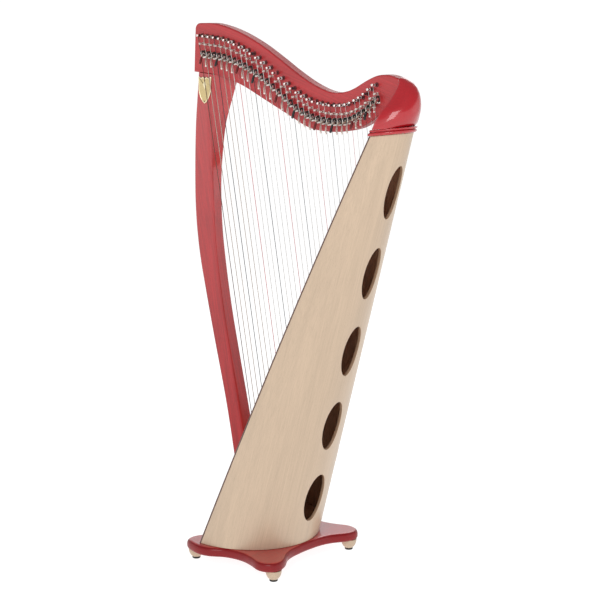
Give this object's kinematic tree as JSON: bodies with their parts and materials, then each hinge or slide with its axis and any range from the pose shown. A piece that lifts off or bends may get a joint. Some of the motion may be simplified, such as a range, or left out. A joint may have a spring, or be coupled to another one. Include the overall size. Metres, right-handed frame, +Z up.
{
  "type": "lever harp",
  "caption": "Floor-standing lever harp: red curved neck and column, tapered round-backed maple soundbox with oval holes, on a lobed base with feet.",
  "frame": {"origin": "on the floor under the middle of the whole harp's footprint box", "axes": "+Z up, +X from the column towards the soundbox's back, the string plane is y = 0 and the levers are on the -Y side"},
  "size_m": [0.7295, 0.397, 1.3717],
  "materials": {
    "red_lacquer": "crimson stained maple under a clear satin to gloss lacquer",
    "maple": "natural maple, satin lacquer",
    "spruce": "straight-grained spruce, satin lacquer",
    "dark_wood": "bare stained wood inside the soundbox",
    "steel": "bright nickel-plated steel",
    "lever_metal": "bright steel lever with a dark body",
    "gilt": "gilt brass plate",
    "string": "nylon and gut string, some red, black or wound",
    "rubber": "black rubber"
  },
  "bodies": {
    "harp": {"badge": "gilt", "base_plate": "red_lacquer", "bottom_block": "dark_wood", "bridge_pins": "steel", "column": "red_lacquer", "column_bolt": "steel", "foot_cup_front_far": "maple", "foot_cup_front_near": "maple", "foot_cup_rear_far": "maple", "foot_cup_rear_near": "maple", "foot_pad_front_far": "rubber", "foot_pad_front_near": "rubber", "foot_pad_rear_far": "rubber", "foot_pad_rear_near": "rubber", "inner_string_rib": "dark_wood", "lever_brackets": "lever_metal", "liner_far": "dark_wood", "liner_near": "dark_wood", "neck": "red_lacquer", "shoulder_cap": "red_lacquer", "shoulder_ring": "red_lacquer", "soundboard": "spruce", "soundbox_shell": "maple", "strings": "string", "top_block": "dark_wood", "tuning_pins": "steel"},
    "lever_01": {"lever_01": "lever_metal"},
    "lever_02": {"lever_02": "lever_metal"},
    "lever_03": {"lever_03": "lever_metal"},
    "lever_04": {"lever_04": "lever_metal"},
    "lever_05": {"lever_05": "lever_metal"},
    "lever_06": {"lever_06": "lever_metal"},
    "lever_07": {"lever_07": "lever_metal"},
    "lever_08": {"lever_08": "lever_metal"},
    "lever_09": {"lever_09": "lever_metal"},
    "lever_10": {"lever_10": "lever_metal"},
    "lever_11": {"lever_11": "lever_metal"},
    "lever_12": {"lever_12": "lever_metal"},
    "lever_13": {"lever_13": "lever_metal"},
    "lever_14": {"lever_14": "lever_metal"},
    "lever_15": {"lever_15": "lever_metal"},
    "lever_16": {"lever_16": "lever_metal"},
    "lever_17": {"lever_17": "lever_metal"},
    "lever_18": {"lever_18": "lever_metal"},
    "lever_19": {"lever_19": "lever_metal"},
    "lever_20": {"lever_20": "lever_metal"},
    "lever_21": {"lever_21": "lever_metal"},
    "lever_22": {"lever_22": "lever_metal"},
    "lever_23": {"lever_23": "lever_metal"},
    "lever_24": {"lever_24": "lever_metal"},
    "lever_25": {"lever_25": "lever_metal"},
    "lever_26": {"lever_26": "lever_metal"},
    "lever_27": {"lever_27": "lever_metal"},
    "lever_28": {"lever_28": "lever_metal"},
    "lever_29": {"lever_29": "lever_metal"},
    "lever_30": {"lever_30": "lever_metal"},
    "lever_31": {"lever_31": "lever_metal"},
    "lever_32": {"lever_32": "lever_metal"},
    "lever_33": {"lever_33": "lever_metal"},
    "lever_34": {"lever_34": "lever_metal"}
  },
  "joints": [
    {"name": "flip_01", "type": "hinge", "parent": "harp", "child": "lever_01", "pos_m": [-0.32149, 0.0005, 1.29259], "axis": [-0.9836, 0, -0.1801], "range_deg": [0, 90]},
    {"name": "flip_02", "type": "hinge", "parent": "harp", "child": "lever_02", "pos_m": [-0.30311, 0.0005, 1.29095], "axis": [-0.9839, 0, -0.1788], "range_deg": [0, 90]},
    {"name": "flip_03", "type": "hinge", "parent": "harp", "child": "lever_03", "pos_m": [-0.2847, 0.0005, 1.28962], "axis": [-0.9842, 0, -0.1773], "range_deg": [0, 90]},
    {"name": "flip_04", "type": "hinge", "parent": "harp", "child": "lever_04", "pos_m": [-0.26632, 0.0005, 1.28812], "axis": [-0.9844, 0, -0.1757], "range_deg": [0, 90]},
    {"name": "flip_05", "type": "hinge", "parent": "harp", "child": "lever_05", "pos_m": [-0.24799, 0.0005, 1.2859], "axis": [-0.9847, 0, -0.1743], "range_deg": [0, 90]},
    {"name": "flip_06", "type": "hinge", "parent": "harp", "child": "lever_06", "pos_m": [-0.22976, 0.0005, 1.28254], "axis": [-0.9849, 0, -0.173], "range_deg": [0, 90]},
    {"name": "flip_07", "type": "hinge", "parent": "harp", "child": "lever_07", "pos_m": [-0.21176, 0.0005, 1.27784], "axis": [-0.9851, 0, -0.1722], "range_deg": [0, 90]},
    {"name": "flip_08", "type": "hinge", "parent": "harp", "child": "lever_08", "pos_m": [-0.19392, 0.0005, 1.27232], "axis": [-0.9852, 0, -0.1716], "range_deg": [0, 90]},
    {"name": "flip_09", "type": "hinge", "parent": "harp", "child": "lever_09", "pos_m": [-0.17611, 0.0005, 1.26591], "axis": [-0.9852, 0, -0.1712], "range_deg": [0, 90]},
    {"name": "flip_10", "type": "hinge", "parent": "harp", "child": "lever_10", "pos_m": [-0.15812, 0.0005, 1.25862], "axis": [-0.9853, 0, -0.1707], "range_deg": [0, 90]},
    {"name": "flip_11", "type": "hinge", "parent": "harp", "child": "lever_11", "pos_m": [-0.13983, 0.0005, 1.25052], "axis": [-0.9855, 0, -0.1699], "range_deg": [0, 90]},
    {"name": "flip_12", "type": "hinge", "parent": "harp", "child": "lever_12", "pos_m": [-0.121, 0.0005, 1.24084], "axis": [-0.9857, 0, -0.1688], "range_deg": [0, 90]},
    {"name": "flip_13", "type": "hinge", "parent": "harp", "child": "lever_13", "pos_m": [-0.10173, 0.0005, 1.22951], "axis": [-0.9859, 0, -0.1673], "range_deg": [0, 90]},
    {"name": "flip_14", "type": "hinge", "parent": "harp", "child": "lever_14", "pos_m": [-0.08232, 0.0005, 1.21742], "axis": [-0.9862, 0, -0.1656], "range_deg": [0, 90]},
    {"name": "flip_15", "type": "hinge", "parent": "harp", "child": "lever_15", "pos_m": [-0.06306, 0.0005, 1.20547], "axis": [-0.9865, 0, -0.164], "range_deg": [0, 90]},
    {"name": "flip_16", "type": "hinge", "parent": "harp", "child": "lever_16", "pos_m": [-0.0439, 0.0005, 1.19304], "axis": [-0.9867, 0, -0.1624], "range_deg": [0, 90]},
    {"name": "flip_17", "type": "hinge", "parent": "harp", "child": "lever_17", "pos_m": [-0.02485, 0.0005, 1.18037], "axis": [-0.987, 0, -0.1607], "range_deg": [0, 90]},
    {"name": "flip_18", "type": "hinge", "parent": "harp", "child": "lever_18", "pos_m": [-0.00631, 0.0005, 1.16981], "axis": [-0.9872, 0, -0.1592], "range_deg": [0, 90]},
    {"name": "flip_19", "type": "hinge", "parent": "harp", "child": "lever_19", "pos_m": [0.01157, 0.0005, 1.16189], "axis": [-0.9875, 0, -0.1579], "range_deg": [0, 90]},
    {"name": "flip_20", "type": "hinge", "parent": "harp", "child": "lever_20", "pos_m": [0.02917, 0.0005, 1.15478], "axis": [-0.9876, 0, -0.1568], "range_deg": [0, 90]},
    {"name": "flip_21", "type": "hinge", "parent": "harp", "child": "lever_21", "pos_m": [0.04656, 0.0005, 1.149], "axis": [-0.9879, 0, -0.1554], "range_deg": [0, 90]},
    {"name": "flip_22", "type": "hinge", "parent": "harp", "child": "lever_22", "pos_m": [0.06381, 0.0005, 1.14508], "axis": [-0.9882, 0, -0.1534], "range_deg": [0, 90]},
    {"name": "flip_23", "type": "hinge", "parent": "harp", "child": "lever_23", "pos_m": [0.08111, 0.0005, 1.14283], "axis": [-0.9886, 0, -0.1503], "range_deg": [0, 90]},
    {"name": "flip_24", "type": "hinge", "parent": "harp", "child": "lever_24", "pos_m": [0.09843, 0.0005, 1.14159], "axis": [-0.9893, 0, -0.146], "range_deg": [0, 90]},
    {"name": "flip_25", "type": "hinge", "parent": "harp", "child": "lever_25", "pos_m": [0.11557, 0.0005, 1.14145], "axis": [-0.99, 0, -0.141], "range_deg": [0, 90]},
    {"name": "flip_26", "type": "hinge", "parent": "harp", "child": "lever_26", "pos_m": [0.13226, 0.0005, 1.14239], "axis": [-0.9907, 0, -0.1361], "range_deg": [0, 90]},
    {"name": "flip_27", "type": "hinge", "parent": "harp", "child": "lever_27", "pos_m": [0.14835, 0.0005, 1.14435], "axis": [-0.9913, 0, -0.1319], "range_deg": [0, 90]},
    {"name": "flip_28", "type": "hinge", "parent": "harp", "child": "lever_28", "pos_m": [0.16342, 0.0005, 1.14799], "axis": [-0.9915, 0, -0.1303], "range_deg": [0, 90]},
    {"name": "flip_29", "type": "hinge", "parent": "harp", "child": "lever_29", "pos_m": [0.17761, 0.0005, 1.15349], "axis": [-0.9913, 0, -0.1313], "range_deg": [0, 90]},
    {"name": "flip_30", "type": "hinge", "parent": "harp", "child": "lever_30", "pos_m": [0.19139, 0.0005, 1.16037], "axis": [-0.991, 0, -0.1339], "range_deg": [0, 90]},
    {"name": "flip_31", "type": "hinge", "parent": "harp", "child": "lever_31", "pos_m": [0.2052, 0.0005, 1.16814], "axis": [-0.9907, 0, -0.1361], "range_deg": [0, 90]},
    {"name": "flip_32", "type": "hinge", "parent": "harp", "child": "lever_32", "pos_m": [0.21899, 0.0005, 1.1778], "axis": [-0.9905, 0, -0.1373], "range_deg": [0, 90]},
    {"name": "flip_33", "type": "hinge", "parent": "harp", "child": "lever_33", "pos_m": [0.23257, 0.0005, 1.18927], "axis": [-0.9904, 0, -0.1385], "range_deg": [0, 90]},
    {"name": "flip_34", "type": "hinge", "parent": "harp", "child": "lever_34", "pos_m": [0.24616, 0.0005, 1.20078], "axis": [-0.9902, 0, -0.1399], "range_deg": [0, 90]}
  ]
}
